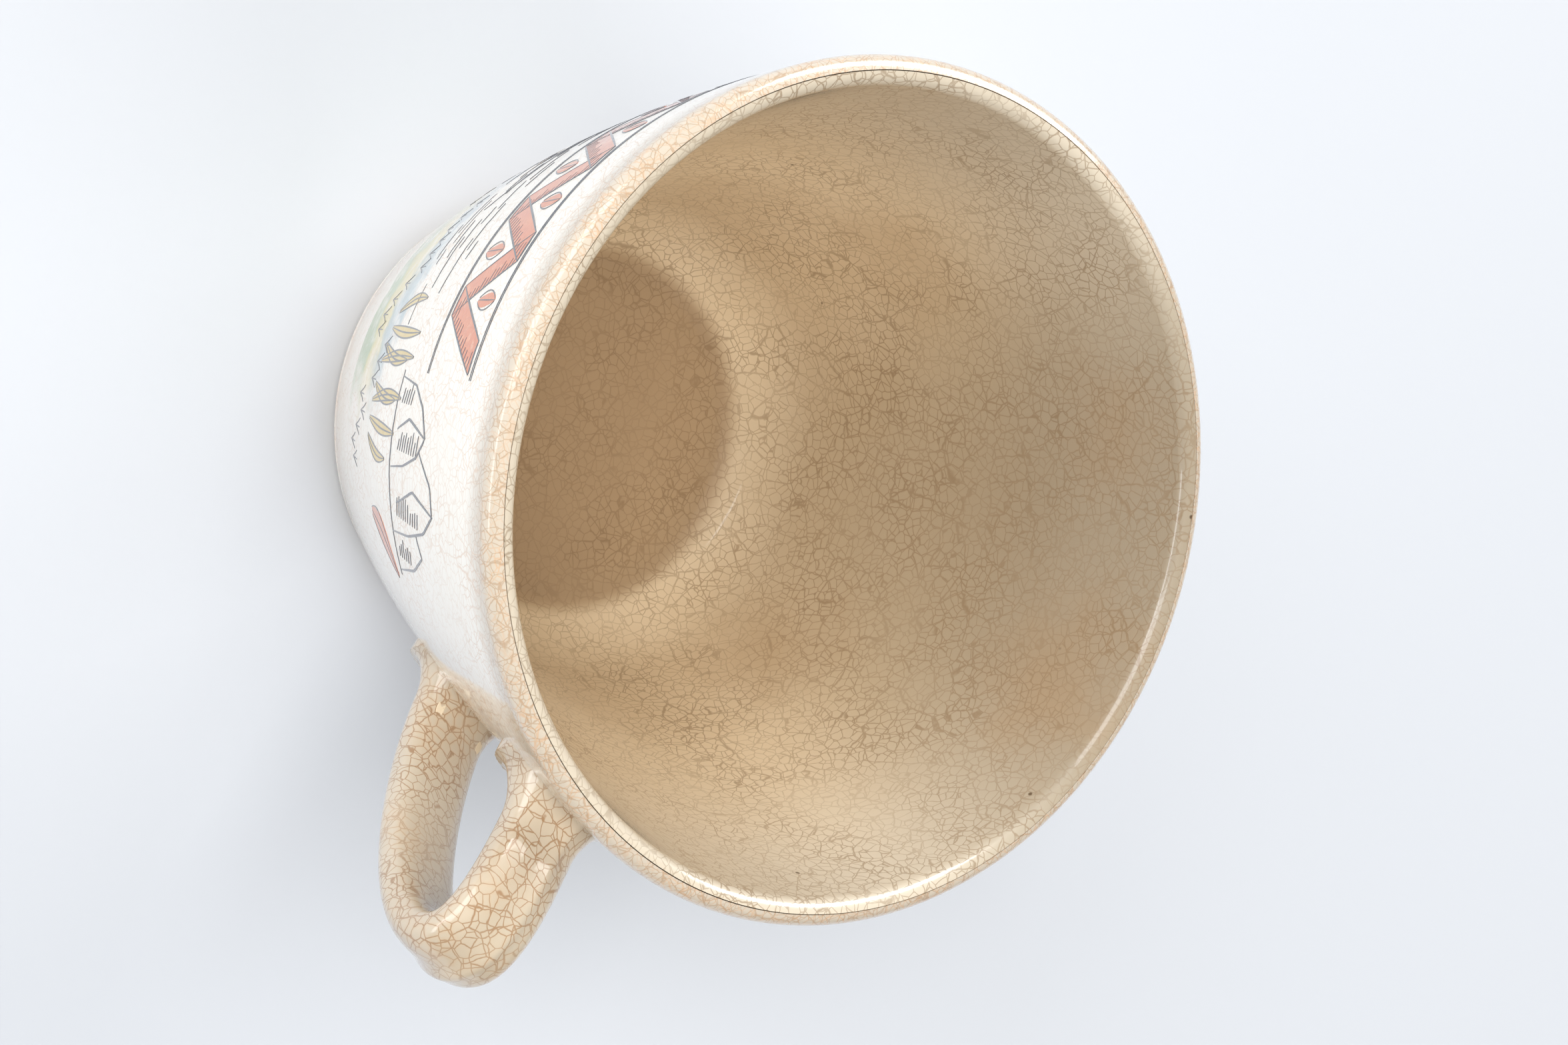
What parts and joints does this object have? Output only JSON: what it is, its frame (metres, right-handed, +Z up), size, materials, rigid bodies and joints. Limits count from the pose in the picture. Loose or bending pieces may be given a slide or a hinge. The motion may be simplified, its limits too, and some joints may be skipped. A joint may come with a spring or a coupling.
{
  "type": "ceramic mug",
  "caption": "Earthenware mug with a flaring round bowl, rolled lip, small ear handle, foot ring, crazed cream glaze and painted underglaze decoration.",
  "frame": {"origin": "centre of the foot ring's underside, on the bowl's axis, at table level", "axes": "+Z up along the bowl's axis, +X towards the handle, the decoration faces -Y"},
  "size_m": [0.1315, 0.108, 0.09],
  "materials": {
    "bisque_clay": "matte",
    "inner_glaze": "gloss",
    "outer_glaze": "gloss",
    "handle_glaze": "gloss",
    "orange_colour": "gloss",
    "green_colour": "gloss",
    "ink_print": "gloss"
  },
  "bodies": {
    "root": {"body": "bisque_clay", "handle": "bisque_clay", "upper_slip_joint": "bisque_clay", "lower_slip_joint": "bisque_clay", "inner_glaze": "inner_glaze", "outer_glaze": "outer_glaze", "handle_glaze": "handle_glaze", "painted_ribbon": "orange_colour", "painted_ground": "green_colour", "water_line_print": "ink_print"}
  },
  "joints": []
}
